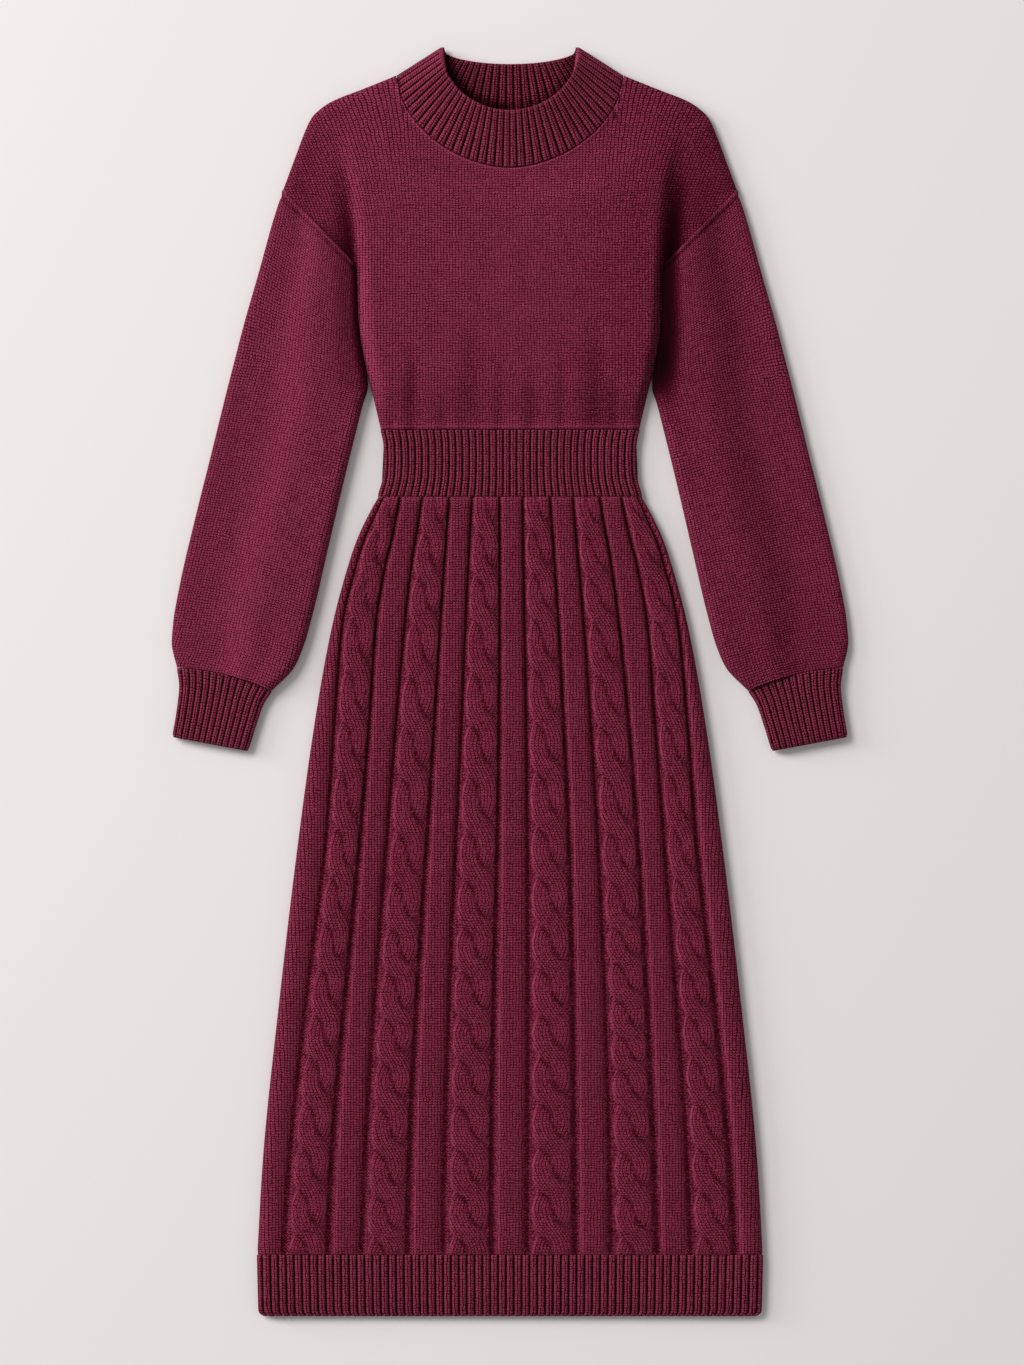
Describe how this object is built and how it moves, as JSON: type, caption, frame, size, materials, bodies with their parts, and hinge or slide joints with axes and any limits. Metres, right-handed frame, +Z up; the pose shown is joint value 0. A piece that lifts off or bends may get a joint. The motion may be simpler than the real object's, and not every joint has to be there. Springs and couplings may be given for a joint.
{
  "type": "sweater dress",
  "caption": "Long-sleeved knitted dress laid flat, with a ribbed stand-up neckband, cuffs, waistband and hem, and a flared skirt of cables and flat panels.",
  "frame": {"origin": "bottom centre of the dress as it lies: halfway across, halfway from hem to neckband, at the surface", "axes": "+X across the dress to the right as looked down on, +Y from the hem to the neck, +Z up from the surface"},
  "size_m": [0.6758, 1.267, 0.0175],
  "materials": {
    "plain_knit": "soft matt stocking stitch, wine red",
    "cable_knit": "soft matt cabled knit, wine red",
    "rib_knit": "soft matt ribbed knit, wine red"
  },
  "bodies": {
    "root": {"bodice_front": "plain_knit", "bodice_back": "plain_knit", "neckband_front": "rib_knit", "neckband_back": "rib_knit", "waistband_front": "rib_knit", "waistband_back": "rib_knit", "skirt_front": "cable_knit", "skirt_back": "cable_knit", "hem_front": "rib_knit", "hem_back": "rib_knit", "sleeve_left": "plain_knit", "sleeve_right": "plain_knit", "cuff_left": "rib_knit", "cuff_right": "rib_knit"}
  },
  "joints": []
}
